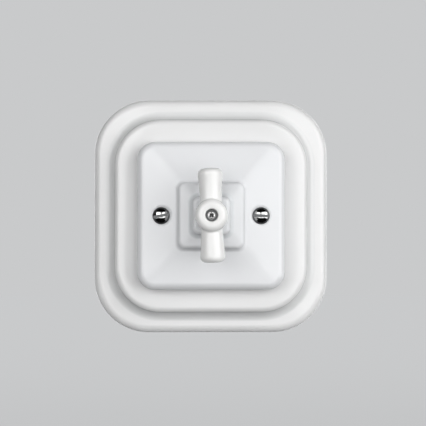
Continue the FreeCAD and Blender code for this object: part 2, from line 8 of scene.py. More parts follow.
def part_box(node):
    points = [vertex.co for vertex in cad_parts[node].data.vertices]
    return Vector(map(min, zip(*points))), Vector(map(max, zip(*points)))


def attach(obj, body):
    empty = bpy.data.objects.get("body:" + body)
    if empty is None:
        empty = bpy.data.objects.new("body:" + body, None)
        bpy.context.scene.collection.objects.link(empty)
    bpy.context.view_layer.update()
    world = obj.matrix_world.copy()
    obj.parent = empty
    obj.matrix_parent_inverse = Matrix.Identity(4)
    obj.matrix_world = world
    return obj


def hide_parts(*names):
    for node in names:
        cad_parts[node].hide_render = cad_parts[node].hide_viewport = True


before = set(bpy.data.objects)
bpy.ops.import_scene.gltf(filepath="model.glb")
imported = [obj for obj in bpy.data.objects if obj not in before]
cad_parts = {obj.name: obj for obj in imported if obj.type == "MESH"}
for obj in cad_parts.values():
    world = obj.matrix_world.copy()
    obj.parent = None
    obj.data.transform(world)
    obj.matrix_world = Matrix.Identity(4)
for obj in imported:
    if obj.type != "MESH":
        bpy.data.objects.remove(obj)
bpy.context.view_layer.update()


# Mechanism base
# A block of steatite, pressed from powder and fired without glaze, that sits in the wall box.
# Its pockets hold the rotor, the springs and the terminals, and the wires enter from behind.

def linear(hex_colour):
    """Linear colour, with full alpha, of an sRGB hex value."""
    shares = [int(hex_colour[place:place + 2], 16) / 255 for place in (0, 2, 4)]
    return [s / 12.92 if s <= 0.04045 else ((s + 0.055) / 1.055) ** 2.4 for s in shares] + [1.0]


def add_node(tree, kind, inputs, **settings):
    """Adds a shader node with its settings; an input takes a value or a link from another node's output."""
    node = tree.nodes.new("ShaderNode" + kind)
    for name, value in settings.items():
        setattr(node, name, value)
    for name, value in inputs.items():
        if isinstance(value, bpy.types.NodeSocket):
            tree.links.new(value, node.inputs[name])
        else:
            node.inputs[name].default_value = value
    return node


def blank_material(name):
    """A new material and its empty node tree."""
    material = bpy.data.materials.new(name)
    material.use_nodes = True
    material.node_tree.nodes.clear()
    return material, material.node_tree


def per_metre(millimetres):
    """Scale of a pattern whose features are that far apart."""
    return 1000 / millimetres


def steatite():
    """Unglazed fired steatite: matt cream, with faint clouds from the kiln and a pressed grain.
    The real grain is finer; this one is as coarse as it needs to be to show."""
    material, tree = blank_material("fired_steatite")
    place = add_node(tree, "TexCoord", {}).outputs["Object"]
    clouds = add_node(tree, "TexNoise", {"Vector": place, "Scale": per_metre(9), "Detail": 3.0})
    grain = add_node(tree, "TexNoise", {"Vector": place, "Scale": per_metre(0.5), "Detail": 2.0})
    tone = add_node(tree, "MixRGB", {"Fac": clouds.outputs["Fac"], "Color1": linear("E3DCCB"),
                                     "Color2": linear("D3CAB6")})
    speckled = add_node(tree, "MixRGB", {"Fac": grain.outputs["Fac"], "Color1": tone.outputs["Color"],
                                         "Color2": linear("DED6C4")})
    bump = add_node(tree, "Bump", {"Strength": 0.5, "Distance": 0.00004, "Height": grain.outputs["Fac"]})
    surface = add_node(tree, "BsdfPrincipled", {"Base Color": speckled.outputs["Color"], "Roughness": 0.62,
                                                "IOR": 1.58, "Normal": bump.outputs["Normal"]})
    add_node(tree, "OutputMaterial", {"Surface": surface.outputs["BSDF"]})
    return material


def finish_node(name, material):
    """Gives a CAD node its real finish."""
    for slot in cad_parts[name].material_slots:
        slot.material = material


finish_node("mechanism_base", steatite())


# Terminals, their screws and the contact springs
# Two brass tunnel blocks clamp the wires. A strip of phosphor bronze, bent into a U, is staked to each block
# and presses on the drum. They lie in the base's pockets, and the screws are reached from above and below.

def worked_metal(name, bright, dull, roughness, marks, depth):
    """Bare metal whose tone wanders, with tool marks that far apart and that deep, in millimetres.
    Real marks are finer; these are as coarse as they need to be to show."""
    material, tree = blank_material(name)
    place = add_node(tree, "TexCoord", {}).outputs["Object"]
    stain = add_node(tree, "TexNoise", {"Vector": place, "Scale": per_metre(6), "Detail": 3.0})
    tone = add_node(tree, "MixRGB", {"Fac": stain.outputs["Fac"], "Color1": linear(bright),
                                     "Color2": linear(dull)})
    scratch = add_node(tree, "TexNoise", {"Vector": place, "Scale": per_metre(marks), "Detail": 4.0})
    gloss = add_node(tree, "MapRange", {"Value": scratch.outputs["Fac"], "To Min": roughness * 0.75,
                                        "To Max": roughness * 1.25})
    bump = add_node(tree, "Bump", {"Strength": 0.4, "Distance": depth / 1000,
                                   "Height": scratch.outputs["Fac"]})
    surface = add_node(tree, "BsdfPrincipled", {"Base Color": tone.outputs["Color"], "Metallic": 1.0,
                                                "Roughness": gloss.outputs["Result"],
                                                "Normal": bump.outputs["Normal"]})
    add_node(tree, "OutputMaterial", {"Surface": surface.outputs["BSDF"]})
    return material


brass = worked_metal("turned_brass", "D8B46A", "B98F48", roughness=0.28, marks=0.5, depth=0.01)
bronze = worked_metal("rolled_phosphor_bronze", "C98F5C", "A86F42", roughness=0.34, marks=0.6, depth=0.01)
zinc = worked_metal("zinc_plated_steel", "C6C9CC", "A3A7AB", roughness=0.36, marks=0.9, depth=0.015)
finish_node("upper_terminal", brass)
finish_node("lower_terminal", brass)
finish_node("terminal_screws", zinc)
finish_node("upper_contact_spring", bronze)
finish_node("lower_contact_spring", bronze)


# Detent springs
# Two flat leaves, cut from spring steel strip and blued when they were hardened.
# They stand in slots of the base, either side of the rotor's cam, and hold it at each quarter turn.

blued_steel = worked_metal("blued_spring_steel", "7C838C", "545B66", roughness=0.3, marks=0.7, depth=0.01)
finish_node("left_detent_spring", blued_steel)
finish_node("right_detent_spring", blued_steel)


# Rotor, contact bridge, washer and spindle
# The rotor is pressed from dark phenolic around a brass bar; a turned steel spindle carries it on a square.
# A fibre washer runs between the spindle's flange and the cap.

def phenolic():
    """Pressed phenolic resin: dark brown with a cloudy filler and a dull moulded skin."""
    material, tree = blank_material("pressed_phenolic")
    place = add_node(tree, "TexCoord", {}).outputs["Object"]
    filler = add_node(tree, "TexNoise", {"Vector": place, "Scale": per_metre(2.5), "Detail": 4.0})
    tone = add_node(tree, "MixRGB", {"Fac": filler.outputs["Fac"], "Color1": linear("2B201B"),
                                     "Color2": linear("423027")})
    bump = add_node(tree, "Bump", {"Strength": 0.3, "Distance": 0.00002, "Height": filler.outputs["Fac"]})
    surface = add_node(tree, "BsdfPrincipled", {"Base Color": tone.outputs["Color"], "Roughness": 0.38,
                                                "IOR": 1.6, "Normal": bump.outputs["Normal"]})
    add_node(tree, "OutputMaterial", {"Surface": surface.outputs["BSDF"]})
    return material


def vulcanised_fibre():
    """Red vulcanised fibre: a matt, slightly mottled sheet of pressed paper."""
    material, tree = blank_material("vulcanised_fibre")
    place = add_node(tree, "TexCoord", {}).outputs["Object"]
    mottle = add_node(tree, "TexNoise", {"Vector": place, "Scale": per_metre(0.8), "Detail": 3.0})
    tone = add_node(tree, "MixRGB", {"Fac": mottle.outputs["Fac"], "Color1": linear("8A3A2B"),
                                     "Color2": linear("6E2A20")})
    surface = add_node(tree, "BsdfPrincipled", {"Base Color": tone.outputs["Color"], "Roughness": 0.7,
                                                "IOR": 1.5})
    add_node(tree, "OutputMaterial", {"Surface": surface.outputs["BSDF"]})
    return material


dark_phenolic = phenolic()
turned_steel = worked_metal("turned_steel", "B4B6B8", "94979A", roughness=0.3, marks=0.4, depth=0.01)
finish_node("rotor", dark_phenolic)
finish_node("contact_bridge", brass)
finish_node("thrust_washer", vulcanised_fibre())
finish_node("spindle", turned_steel)


# Mechanism cap and bearing bush
# The cap is a plate of the same phenolic that closes the base, held by the screws of the yoke.
# A flanged bush, turned from brass, is pressed into it and guides the spindle.

finish_node("mechanism_cap", dark_phenolic)
finish_node("bearing_bush", brass)


# Mounting yoke and assembly screws
# The yoke is pressed from zinc-plated steel sheet, with slots for the screws of the wall box.
# Four slotted screws hold it and the cap on the base.

finish_node("mounting_yoke", zinc)
finish_node("assembly_screws", zinc)


# Outer frame
# One cast piece of porcelain, dipped in clear glaze and fired on its bare foot: a rounded outer band,
# a cove and a raised tier. It is hollow behind for the yoke, and the cover clamps it to the wall.

def drawn_box(node):
    """Corners of a CAD node in millimetres, lying face up: X right, Y up the wall, Z out of the wall."""
    low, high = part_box(node)
    return Vector((low.x, low.z, -high.y)) * 1000, Vector((high.x, high.z, -low.y)) * 1000


_, high = drawn_box("outer_frame")
frame_half = high.x
frame_top = high.z
frame_corner = 23.5
foot_edge = 0.8
band_level = 5.2
band_edge = 3.6
cove_radius = 4.2
tier_half = 41.0
tier_corner = 19.4
tier_edge = 2.5
opening_half = 27.0
opening_corner = 7.0
opening_edge = 0.8
hollow_half = 38.0
hollow_corner = 11.5
hollow_level = 5.2
mouth_edge = 0.4
draft = 0.05
kiln_reach = 40.0
kiln_depth = 0.12
corner_steps = 16
side_runs = 12


def clay():
    """Empty mesh with a mark on its vertices for pooled glaze and painted shade, and another for bare clay.
    """
    bm = bmesh.new()
    return bm, bm.verts.layers.float.new("pool_and_shade"), bm.verts.layers.float.new("bare")


def rounded_square(bm, half, corner, level):
    """Closed loop of edges around a square with round corners."""
    verts = bmesh.ops.create_grid(bm, x_segments=1, y_segments=1, size=half)["verts"]
    bmesh.ops.translate(bm, verts=verts, vec=(0, 0, level))
    verts = bmesh.ops.bevel(bm, geom=verts, affect="VERTICES", offset=corner, segments=corner_steps,
                            profile=0.5, material=-1)["verts"]
    loop = list(verts[0].link_faces[0].edges)
    bmesh.ops.delete(bm, geom=verts[0].link_faces[:], context="FACES_ONLY")
    sides = [edge for edge in loop if edge.calc_length() > half - corner]
    split = bmesh.ops.bisect_edges(bm, edges=sides, cuts=side_runs - 1)["geom_split"]
    return list(set(loop) | {part for part in split if isinstance(part, bmesh.types.BMEdge)})


def skin_over(bm, loops):
    """Faces from each loop to the next, and from the last one back to the first."""
    for loop, following in zip(loops, loops[1:] + loops[:1]):
        bmesh.ops.bridge_loops(bm, edges=loop + following)


def soften(bm, loop, radius, steps):
    """Rounds the edges of a loop, or fills them with a cove, and returns the new faces."""
    return bmesh.ops.bevel(bm, geom=loop, affect="EDGES", offset=radius, segments=steps, profile=0.5,
                           material=-1, clamp_overlap=False)["faces"]


def mark_loops(loops, layer):
    """Marks every vertex of some loops."""
    for loop in loops:
        for edge in loop:
            edge.verts[0][layer] = 1.0
            edge.verts[1][layer] = 1.0


def mark_inside(faces, layer):
    """Marks the vertices that lie inside a patch of faces, but not those on its rim."""
    patch = set(faces)
    for face in faces:
        for vert in face.verts:
            if patch.issuperset(vert.link_faces):
                vert[layer] = 1.0


def wander(bm, reach, depth):
    """Moves the surface by a soft noise, the same in every run, as clay and glaze move in the kiln."""
    noise.seed_set(1)
    for vert in bm.verts:
        vert.co += noise.noise_vector(vert.co / reach) * depth


def in_scene(name, data):
    """Object that holds a mesh, a lamp or a camera."""
    thing = bpy.data.objects.new(name, data)
    bpy.context.scene.collection.objects.link(thing)
    return thing


def hung_piece(name, bm, material):
    """Piece made from a mesh in millimetres that lies face up: it is stood up to face the room, in metres."""
    stand_up = Matrix.Rotation(math.pi / 2, 4, "X") @ Matrix.Scale(0.001, 4)
    bmesh.ops.recalc_face_normals(bm, faces=bm.faces)
    bmesh.ops.transform(bm, verts=bm.verts, matrix=stand_up)
    mesh = bpy.data.meshes.new(name)
    bm.to_mesh(mesh)
    bm.free()
    mesh.materials.append(material)
    mesh.shade_smooth()
    return in_scene(name, mesh)


def glazed_porcelain(name, white, pooled_and_shaded):
    """Clear-glazed porcelain: a soft white body under a bright skin that waves a little. Its coves take a
    darker,
    cooler white: partly glaze that pools there, partly painted shade.
    Where the piece stood in the kiln it is bare and matt, with a grain drawn coarse enough to show."""
    material, tree = blank_material(name)
    place = add_node(tree, "TexCoord", {}).outputs["Object"]
    pool_and_shade = add_node(tree, "Attribute", {}, attribute_name="pool_and_shade").outputs["Fac"]
    bare = add_node(tree, "Attribute", {}, attribute_name="bare").outputs["Fac"]
    clouds = add_node(tree, "TexNoise", {"Vector": place, "Scale": per_metre(35), "Detail": 2.0})
    drift = add_node(tree, "MapRange", {"Value": clouds.outputs["Fac"], "From Min": 0.3, "From Max": 0.7,
                                        "To Max": 0.25})
    # The larger of the cove mark, for pooled glaze and painted shade, and a random drift leans the tone to
    # the darker white.
    depth = add_node(tree, "Math", {0: pool_and_shade, 1: drift.outputs["Result"]}, operation="MAXIMUM")
    tone = add_node(tree, "MixRGB", {"Fac": depth.outputs["Value"], "Color1": linear(white),
                                     "Color2": linear(pooled_and_shaded)})
    biscuit = add_node(tree, "TexNoise", {"Vector": place, "Scale": per_metre(0.6), "Detail": 3.0})
    colour = add_node(tree, "MixRGB", {"Fac": bare, "Color1": tone.outputs["Color"],
                                       "Color2": linear("E2DCD0")})
    gloss = add_node(tree, "MapRange", {"Value": bare, "To Min": 0.1, "To Max": 0.7})
    waves = add_node(tree, "TexNoise", {"Vector": place, "Scale": per_metre(14), "Detail": 1.0})
    waved = add_node(tree, "Bump", {"Strength": 0.6, "Distance": 0.00012, "Height": waves.outputs["Fac"]})
    skin = add_node(tree, "TexNoise", {"Vector": place, "Scale": per_metre(2.5), "Detail": 1.0})
    rippled = add_node(tree, "Bump", {"Strength": 0.35, "Distance": 0.00001, "Height": skin.outputs["Fac"],
                                      "Normal": waved.outputs["Normal"]})
    rough = add_node(tree, "Bump", {"Strength": bare, "Distance": 0.00005, "Height": biscuit.outputs["Fac"],
                                    "Normal": rippled.outputs["Normal"]})
    surface = add_node(tree, "BsdfPrincipled", {"Base Color": colour.outputs["Color"], "IOR": 1.5,
                                                "Roughness": gloss.outputs["Result"],
                                                "Normal": rough.outputs["Normal"]})
    add_node(tree, "OutputMaterial", {"Surface": surface.outputs["BSDF"]})
    return material


bm, pool_and_shade, bare = clay()
foot = rounded_square(bm, frame_half, frame_corner, 0)
band = rounded_square(bm, frame_half, frame_corner, band_level)
riser = rounded_square(bm, tier_half, tier_corner, band_level + draft)
tier = rounded_square(bm, tier_half, tier_corner, frame_top)
opening = rounded_square(bm, opening_half, opening_corner, frame_top - draft)
throat = rounded_square(bm, opening_half, opening_corner, hollow_level + draft)
hollow = rounded_square(bm, hollow_half, hollow_corner, hollow_level)
mouth = rounded_square(bm, hollow_half, hollow_corner, draft)
skin_over(bm, [foot, band, riser, tier, opening, throat, hollow, mouth])
mark_loops([throat, hollow, mouth], bare)
soften(bm, foot, foot_edge, steps=3)
soften(bm, band, band_edge, steps=9)
# The cove is marked for a darker, cooler white: partly glaze that pools there, partly painted shade.
mark_inside(soften(bm, riser, cove_radius, steps=9), pool_and_shade)
soften(bm, tier, tier_edge, steps=7)
soften(bm, opening, opening_edge, steps=3)
soften(bm, mouth, mouth_edge, steps=2)
wander(bm, kiln_reach, kiln_depth)
glazed_frame = hung_piece("glazed_frame", bm, glazed_porcelain("frame_glaze", "E9E9E9", "E1E2E2"))
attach(glazed_frame, "housing")
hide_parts("outer_frame")


# Cover plate
# Pressed porcelain under the same glaze, a cooler white: four slopes rise to a square pedestal in two steps.
# A spigot behind drops into the frame, and two screws in round recesses clamp it to the yoke.

low, high = drawn_box("cover_plate")
cover_half = high.x
cover_corner = 7.6
cover_foot = frame_top
cover_foot_edge = 0.4
shoulder_level = cover_foot + 6.7
shoulder_edge = 3.2
hip_rise = 1.4
hip_level = shoulder_level + hip_rise
pedestal_half = 13.8
pedestal_slant = 0.3
pedestal_foot_corner = 2.5
pedestal_cove = 1.2
pedestal_level = hip_level + 2.9
pedestal_corner = 3.2
pedestal_edge = 1.1
collar_half = 7.9
collar_slant = 0.4
collar_foot_level = pedestal_level + 0.4
collar_foot_corner = 2.8
collar_cove = 1.6
collar_level = high.z
collar_corner = 2.5
collar_edge = 1.2
spindle_hole = 4.2
spindle_hole_edge = 0.3
core_half = 9.8
core_corner = 2.6
core_level = pedestal_level - 4.0
cavity_half = 23.4
cavity_corner = 5.0
cavity_level = shoulder_level - 3.3
spigot_half = 26.6
spigot_corner = 6.6
spigot_foot = low.z
screw_place = 21.0
pillar_radius = 5.2
pillar_top = shoulder_level - 1.0
recess_surface = shoulder_level + hip_rise * (cover_half - screw_place) / (cover_half - pedestal_half)
recess_reach = 4.15
recess_lip = 0.7
recess_lip_angle = math.radians(25)
recess_rim_height = 1.0
recess_rim_tolerance = 0.02
clear_of_slope = 2.0
screw_hole = 2.0
cover_shading_angle = math.radians(50)


def turned(profile, steps):
    """Mesh turned about Z from the (radius, height) points of a half section."""
    bm = bmesh.new()
    verts = [bm.verts.new((radius, 0, height)) for radius, height in profile]
    edges = [bm.edges.new(pair) for pair in zip(verts, verts[1:])]
    bmesh.ops.spin(bm, geom=verts + edges, cent=(0, 0, 0), axis=(0, 0, 1), angle=math.tau, steps=steps,
                   use_merge=True)
    bmesh.ops.remove_doubles(bm, verts=bm.verts, dist=0.001)
    bmesh.ops.recalc_face_normals(bm, faces=bm.faces)
    return bm


def at_screws(profile, steps):
    """Two turned meshes, one at the place of each cover screw."""
    tools = [turned(profile, steps) for _ in range(2)]
    for tool, side in zip(tools, (-1, 1)):
        bmesh.ops.translate(tool, verts=tool.verts, vec=(side * screw_place, 0, 0))
    return tools


def modified(blank):
    """Mesh of an object with its modifiers applied."""
    return bpy.data.meshes.new_from_object(blank.evaluated_get(bpy.context.evaluated_depsgraph_get()))


def combine(bm, tools, operation):
    """Cuts the tool meshes out of a mesh, or joins them on; the tools are used up."""
    mesh = bpy.data.meshes.new("blank")
    bmesh.ops.recalc_face_normals(bm, faces=bm.faces)
    bm.to_mesh(mesh)
    blank = in_scene("blank", mesh)
    helpers = [blank]
    for tool in tools:
        tool_mesh = bpy.data.meshes.new("tool")
        tool.to_mesh(tool_mesh)
        tool.free()
        helper = in_scene("tool", tool_mesh)
        helpers.append(helper)
        step = blank.modifiers.new("step", "BOOLEAN")
        step.operation = operation
        step.solver = "MANIFOLD"
        step.object = helper
    result = modified(blank)
    bm.clear()
    bm.from_mesh(result)
    for helper in helpers:
        bpy.data.objects.remove(helper)


def round_loop(bm, radius, level):
    """Closed circle of edges, with as many as a rounded square has."""
    verts = bmesh.ops.create_circle(bm, segments=4 * (corner_steps + side_runs), radius=radius)["verts"]
    bmesh.ops.translate(bm, verts=verts, vec=(0, 0, level))
    return list({edge for vert in verts for edge in vert.link_edges})


def on_recess_rim(vert):
    """Whether a vertex of the cover lies where the cone of a screw recess meets the slope."""
    reach = (vert.co.xy - Vector((math.copysign(screw_place, vert.co.x), 0))).length
    height = vert.co.z - recess_surface
    return height > -recess_rim_height and abs(height + recess_reach - reach) < recess_rim_tolerance


bm, pool_and_shade, bare = clay()
edge_foot = rounded_square(bm, cover_half, cover_corner, cover_foot)
shoulder = rounded_square(bm, cover_half, cover_corner, shoulder_level)
hip_head = rounded_square(bm, pedestal_half + pedestal_slant, pedestal_foot_corner, hip_level)
pedestal = rounded_square(bm, pedestal_half - pedestal_slant, pedestal_corner, pedestal_level)
collar_foot = rounded_square(bm, collar_half + collar_slant, collar_foot_corner, collar_foot_level)
collar = rounded_square(bm, collar_half - collar_slant, collar_corner, collar_level)
hole_top = round_loop(bm, spindle_hole, collar_level - draft)
hole_foot = round_loop(bm, spindle_hole, core_level)
core_top = rounded_square(bm, core_half, core_corner, core_level - draft)
core_foot = rounded_square(bm, core_half, core_corner, cavity_level)
cavity = rounded_square(bm, cavity_half, cavity_corner, cavity_level - draft)
spigot_inner = rounded_square(bm, cavity_half, cavity_corner, spigot_foot)
spigot_outer = rounded_square(bm, spigot_half, spigot_corner, spigot_foot + draft)
spigot_top = rounded_square(bm, spigot_half, spigot_corner, cover_foot - draft)
skin_over(bm, [edge_foot, shoulder, hip_head, pedestal, collar_foot, collar, hole_top, hole_foot,
               core_top, core_foot, cavity, spigot_inner, spigot_outer, spigot_top])
mark_loops([core_top, core_foot, cavity, spigot_inner, spigot_outer, spigot_top], bare)
soften(bm, edge_foot, cover_foot_edge, steps=2)
soften(bm, shoulder, shoulder_edge, steps=9)
soften(bm, hip_head, pedestal_cove, steps=6)
soften(bm, pedestal, pedestal_edge, steps=6)
# The collar's cove is marked for a darker, cooler white: partly pooled glaze, partly painted shade.
mark_inside(soften(bm, collar_foot, collar_cove, steps=6), pool_and_shade)
soften(bm, collar, collar_edge, steps=6)
soften(bm, hole_top, spindle_hole_edge, steps=2)
combine(bm, at_screws([(0, spigot_foot), (pillar_radius, spigot_foot), (pillar_radius, pillar_top),
                       (0, pillar_top)], steps=48), "UNION")
combine(bm, at_screws([(0, recess_surface + clear_of_slope),
                       (recess_reach + clear_of_slope, recess_surface + clear_of_slope),
                       (screw_hole, recess_surface - recess_reach + screw_hole),
                       (screw_hole, 0), (0, 0)], steps=64), "DIFFERENCE")
rims = [edge for edge in bm.edges if all(on_recess_rim(vert) for vert in edge.verts)
        and edge.calc_face_angle() > recess_lip_angle]
soften(bm, rims, recess_lip, steps=6)
wander(bm, kiln_reach, kiln_depth)
glazed_cover = hung_piece("glazed_cover", bm, glazed_porcelain("cover_glaze", "E7E8EA", "E0E3E5"))
glazed_cover.data.set_sharp_from_angle(angle=cover_shading_angle)
weighted = glazed_cover.modifiers.new("weighted_normals", "WEIGHTED_NORMAL")
weighted.keep_sharp = True
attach(glazed_cover, "housing")
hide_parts("cover_plate")


# Cover screws
# Two slotted, nickel-plated steel screws with raised countersunk heads: the domes are polished, the rims and
# slots are dull as the lathe and the cutter left them, and painted darker as shade. They clamp the cover
# to the threaded collars of the yoke.

low, high = drawn_box("cover_screws")
screw_tip = low.z
dome_top = high.z
dome_radius = 4.9
dome_reach = 3.0
dome_steps = 10
dome_edge = 0.2
head_reach = 3.65
head_level = dome_top - 1.5
head_edge = 0.12
slot_width = 1.1
slot_depth = 1.3
slot_edge = 0.05
slot_edge_angle = math.radians(50)
slot_edge_clearance = 0.05
slot_sliver = 0.03
cutter_length = 3 * head_reach
cutter_clearance = 1.0
slot_turns = {-1: math.radians(11), 1: math.radians(-2)}
shank_radius = 1.75
thread_top = 7.0
thread_pitch = 0.6
thread_overlap = 0.5
polish_margin = 0.1
shading_angle = math.radians(35)


def polished_nickel():
    """Nickel plate: a bright mirror, duller where the tools' marks were left, and darker there with painted
    shade.
    Its hairline scratches are drawn as coarse as they need to be to show."""
    material, tree = blank_material("polished_nickel")
    place = add_node(tree, "TexCoord", {}).outputs["Object"]
    shade_and_tool_marks = add_node(tree, "Attribute", {}, attribute_name="shade_and_tool_marks").outputs["Fac"]
    hairlines = add_node(tree, "TexNoise", {"Vector": place, "Scale": per_metre(0.6), "Detail": 5.0})
    gloss = add_node(tree, "MapRange", {"Value": hairlines.outputs["Fac"], "To Min": 0.05, "To Max": 0.16})
    dulled = add_node(tree, "MapRange", {"Value": shade_and_tool_marks, "To Min": gloss.outputs["Result"], "To Max": 0.4})
    # Slots, recesses, rims and washer faces get a darker metal: painted shade, not the plating's own colour.
    tone = add_node(tree, "MixRGB", {"Fac": shade_and_tool_marks, "Color1": linear("C8C8C8"), "Color2": linear("6C6D6E")})
    surface = add_node(tree, "BsdfPrincipled", {"Base Color": tone.outputs["Color"], "Metallic": 1.0,
                                                "Roughness": dulled.outputs["Result"]})
    add_node(tree, "OutputMaterial", {"Surface": surface.outputs["BSDF"]})
    return material


def block(width, length, bottom, top, taper=1.0):
    """Upright block about Z, narrower at the bottom by the taper."""
    bm = bmesh.new()
    verts = bmesh.ops.create_cube(bm, size=1)["verts"]
    bmesh.ops.scale(bm, verts=verts, vec=(width, length, top - bottom))
    bmesh.ops.translate(bm, verts=verts, vec=(0, 0, (top + bottom) / 2))
    foot = [vert for vert in verts if vert.co.z < (top + bottom) / 2]
    bmesh.ops.scale(bm, verts=foot, vec=(taper, taper, 1))
    return bm


def threaded_rod(radius, pitch, bottom, top):
    """Closed rod with a sharp thread, cut square at both ends."""
    tooth_depth = 0.6 * pitch
    root = radius - tooth_depth
    start = bottom - pitch
    turns = math.ceil((top - bottom) / pitch) + 2
    steps = 28
    bm = bmesh.new()
    tooth = [(root, 0, start), (radius, 0, start + pitch / 2), (root, 0, start + pitch)]
    verts = [bm.verts.new(place) for place in tooth]
    edges = [bm.edges.new(pair) for pair in zip(verts, verts[1:])]
    bmesh.ops.spin(bm, geom=verts + edges, cent=(0, 0, 0), axis=(0, 0, 1), angle=turns * math.tau,
                   steps=turns * steps, dvec=(0, 0, pitch / steps))
    bmesh.ops.remove_doubles(bm, verts=bm.verts, dist=0.001)
    for level, outward in ((bottom, -1), (top, 1)):
        bmesh.ops.bisect_plane(bm, geom=bm.verts[:] + bm.edges[:] + bm.faces[:], plane_co=(0, 0, level),
                               plane_no=(0, 0, outward), clear_outer=True)
    bmesh.ops.holes_fill(bm, edges=[edge for edge in bm.edges if edge.is_boundary])
    bmesh.ops.recalc_face_normals(bm, faces=bm.faces)
    return bm


def join(target, part, matrix):
    """Adds a copy of a part, moved by the matrix, to a mesh."""
    mesh = bpy.data.meshes.new("copy")
    part.to_mesh(mesh)
    mesh.transform(matrix)
    target.from_mesh(mesh)
    bpy.data.meshes.remove(mesh)


def ring_edges(bm, radius, level):
    """Edges of the circle of that radius about Z at that level."""
    def on_circle(vert):
        return abs(vert.co.xy.length - radius) < 0.01 and abs(vert.co.z - level) < 0.01
    return [edge for edge in bm.edges if all(on_circle(vert) for vert in edge.verts)]


def sharp_edges(bm, angle, level):
    """Edges above a level where two faces meet at more than an angle."""
    return [edge for edge in bm.edges if edge.is_manifold and edge.calc_face_angle() > angle
            and all(vert.co.z > level for vert in edge.verts)]


def dome_level(reach):
    """Level of the polished dome at a distance from the screw's axis."""
    return dome_top - dome_radius + math.sqrt(dome_radius ** 2 - reach ** 2)


nickel = polished_nickel()
dome_turn = math.asin(dome_reach / dome_radius)
dome_reaches = [dome_radius * math.sin(dome_turn * step / dome_steps) for step in range(dome_steps + 1)]
dome = [(reach, dome_level(reach)) for reach in dome_reaches]
screw = turned(dome + [(head_reach, head_level), (shank_radius, head_level - head_reach + shank_radius),
                       (shank_radius, thread_top), (0, thread_top)], steps=72)
soften(screw, ring_edges(screw, dome_reach, dome_level(dome_reach)), dome_edge, steps=3)
soften(screw, ring_edges(screw, head_reach, head_level), head_edge, steps=3)
combine(screw, [threaded_rod(shank_radius, thread_pitch, screw_tip, thread_top + thread_overlap)], "UNION")
cutter = block(cutter_length, slot_width, dome_top - slot_depth, dome_top + cutter_clearance)
combine(screw, [cutter], "DIFFERENCE")
bmesh.ops.dissolve_degenerate(screw, dist=slot_sliver, edges=screw.edges)
soften(screw, sharp_edges(screw, slot_edge_angle, head_level + slot_edge_clearance), slot_edge, steps=2)
# Everything off the polished dome is marked dull and painted darker as shade.
shade_and_tool_marks = screw.verts.layers.float.new("shade_and_tool_marks")
for vert in screw.verts:
    reach = vert.co.xy.length
    polished = reach < dome_reach - polish_margin and vert.co.z > dome_level(reach) - polish_margin
    vert[shade_and_tool_marks] = 0.0 if polished else 1.0
bm = bmesh.new()
for side, turn in slot_turns.items():
    join(bm, screw, Matrix.Translation((side * screw_place, 0, 0)) @ Matrix.Rotation(turn, 4, "Z"))
screw.free()
nickel_screws = hung_piece("nickel_cover_screws", bm, nickel)
nickel_screws.data.set_sharp_from_angle(angle=shading_angle)
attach(nickel_screws, "housing")
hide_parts("cover_screws")


# Knob
# One pressed porcelain piece in a warmer white: a round hub with two arms that flare towards domed ends.
# It sits on the spindle's flats, and a sunk screw holds it.

low, high = drawn_box("knob")
knob_foot = low.z
knob_top = high.z
hub_radius = 7.0
hub_top_radius = 6.6
hub_foot_edge = 0.5
hub_top_edge = 2.5
seat_level = knob_top - 3.0
seat_radius = 2.6
seat_edge = 0.5
screw_bore = 1.5
socket_level = seat_level - 2.4
socket_radius = 3.05
arm_height = knob_foot + 5.9
arm_turn = math.radians(1.9)
arm_root = 5.0
arm_neck = 4.4
arm_end = 5.45
arm_end_edge = 2.0
arm_shoulder = 18.9
arm_stations = (arm_root, 8.0, 11.0, 14.0, 16.5, arm_shoulder)
arm_reach = 19.6
crown_radius = 2.7
crown_drop = 0.15
grain_size = 0.2
bore_reach = 3.6
all_rounds = 8
skin_rounds = 24

hub = turned([(socket_radius, knob_foot), (hub_radius, knob_foot), (hub_top_radius, knob_top),
              (seat_radius, knob_top), (seat_radius, seat_level), (screw_bore, seat_level),
              (screw_bore, socket_level), (socket_radius, socket_level), (socket_radius, knob_foot)],
             steps=96)
soften(hub, ring_edges(hub, hub_top_radius, knob_top), hub_top_edge, steps=8)
soften(hub, ring_edges(hub, seat_radius, knob_top), seat_edge, steps=4)
soften(hub, ring_edges(hub, hub_radius, knob_foot), hub_foot_edge, steps=3)
flare = [(arm_neck + (arm_end - arm_neck) * (reach / arm_shoulder) ** 2, reach) for reach in arm_stations]
for side in (0, math.pi):
    arm = turned([(0, arm_root)] + flare + [(crown_radius, arm_reach - crown_drop), (0, arm_reach)], steps=72)
    soften(arm, ring_edges(arm, arm_end, arm_shoulder), arm_end_edge, steps=7)
    join(hub, arm, Matrix.Rotation(side + arm_turn, 4, "Z") @ Matrix.Translation((0, 0, arm_height))
         @ Matrix.Rotation(-math.pi / 2, 4, "X"))
    arm.free()
rough = bpy.data.meshes.new("knob_blank")
hub.to_mesh(rough)
hub.free()
blank = in_scene("knob_blank", rough)
fuse = blank.modifiers.new("fuse", "REMESH")
fuse.mode = "VOXEL"
fuse.voxel_size = grain_size
fused = modified(blank)
bpy.data.objects.remove(blank)
bm = bmesh.new()
bm.from_mesh(fused)
skin = [vert for vert in bm.verts if vert.co.xy.length > bore_reach]
for verts, rounds in ((bm.verts[:], all_rounds), (skin, skin_rounds)):
    for _ in range(rounds):
        bmesh.ops.smooth_vert(bm, verts=verts, factor=0.5, use_axis_x=True, use_axis_y=True, use_axis_z=True)
glazed_knob = hung_piece("glazed_knob", bm, glazed_porcelain("knob_glaze", "F1F1F0", "E3E3E1"))
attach(glazed_knob, "turning_set")
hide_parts("knob")


